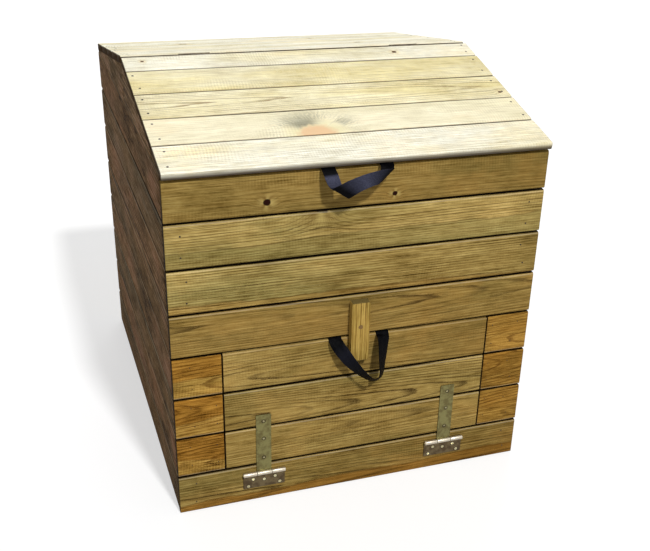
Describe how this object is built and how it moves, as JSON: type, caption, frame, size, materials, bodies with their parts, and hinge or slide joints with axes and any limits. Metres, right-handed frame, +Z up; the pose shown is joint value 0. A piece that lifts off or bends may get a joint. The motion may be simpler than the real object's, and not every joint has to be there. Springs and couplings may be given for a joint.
{
  "type": "wooden composter",
  "caption": "Square slatted wooden compost bin with a shallow gable roof, a lifting front lid and a drop-down emptying hatch on tee hinges with a turn button.",
  "frame": {"origin": "on the ground under the middle of the footprint, the lid handle's reach included", "axes": "+Z up, +X to the right seen from the front, +Y from the front wall to the rear wall"},
  "size_m": [0.823, 0.999, 0.9038],
  "materials": {
    "board_wood": "rough-sawn pine with a green pressure-treated tint and rounded long edges",
    "roof_wood": "pale planed pine with knots",
    "frame_wood": "rough-sawn pine",
    "button_wood": "light planed pine",
    "zinc_steel": "dull yellow zinc plating",
    "webbing": "flat woven polypropylene webbing"
  },
  "bodies": {
    "base": {"front_board_1": "board_wood", "front_board_5": "board_wood", "front_board_6": "board_wood", "front_board_7": "board_wood", "front_board_8": "board_wood", "front_stubs_left": "board_wood", "front_stubs_right": "board_wood", "left_board_1": "board_wood", "left_board_2": "board_wood", "left_board_3": "board_wood", "left_board_4": "board_wood", "left_board_5": "board_wood", "left_board_6": "board_wood", "left_board_7": "board_wood", "left_board_8": "board_wood", "right_boards": "board_wood", "back_boards": "board_wood", "front_post_left": "frame_wood", "front_post_right": "frame_wood", "rear_post_left": "frame_wood", "rear_post_right": "frame_wood", "hatch_jamb_left": "frame_wood", "hatch_jamb_right": "frame_wood", "roof_rail_left": "frame_wood", "roof_rail_right": "frame_wood", "ridge_beam": "frame_wood", "roof_board_1": "roof_wood", "roof_board_2": "roof_wood", "roof_board_3": "roof_wood", "roof_board_4": "roof_wood", "roof_board_5": "roof_wood", "hatch_hinge_leaf_left": "zinc_steel", "hatch_hinge_leaf_right": "zinc_steel", "hatch_hinge_pins": "zinc_steel", "hinge_leaf_screws": "zinc_steel", "lid_hinge_fixed_leaves": "zinc_steel", "lid_hinge_pins": "zinc_steel", "turn_button_screw": "zinc_steel"},
    "lid": {"lid_board_1": "roof_wood", "lid_board_2": "roof_wood", "lid_board_3": "roof_wood", "lid_board_4": "roof_wood", "lid_board_5": "roof_wood", "lid_rail_left": "frame_wood", "lid_rail_right": "frame_wood", "lid_ridge_rail": "frame_wood", "lid_hinge_moving_leaves": "zinc_steel", "lid_screws": "zinc_steel", "lid_handle": "webbing"},
    "hatch": {"hatch_board_1": "board_wood", "hatch_board_2": "board_wood", "hatch_board_3": "board_wood", "hatch_batten_left": "frame_wood", "hatch_batten_right": "frame_wood", "hatch_hinge_strap_left": "zinc_steel", "hatch_hinge_strap_right": "zinc_steel", "hatch_screws": "zinc_steel", "hatch_handle": "webbing"},
    "button": {"turn_button": "button_wood"}
  },
  "joints": [
    {"name": "lid_hinge", "type": "hinge", "parent": "base", "child": "lid", "pos_m": [0, 0.022, 0.9008], "axis": [-1, 0, 0], "range_deg": [0, 115]},
    {"name": "hatch_hinge", "type": "hinge", "parent": "base", "child": "hatch", "pos_m": [0, -0.4513, 0.077], "axis": [1, 0, 0], "range_deg": [0, 95]},
    {"name": "button_turn", "type": "hinge", "parent": "base", "child": "button", "pos_m": [-0.007, -0.455, 0.427], "axis": [0, 1, 0], "range_deg": [-90, 90], "deforming": ["hatch_handle"]}
  ]
}
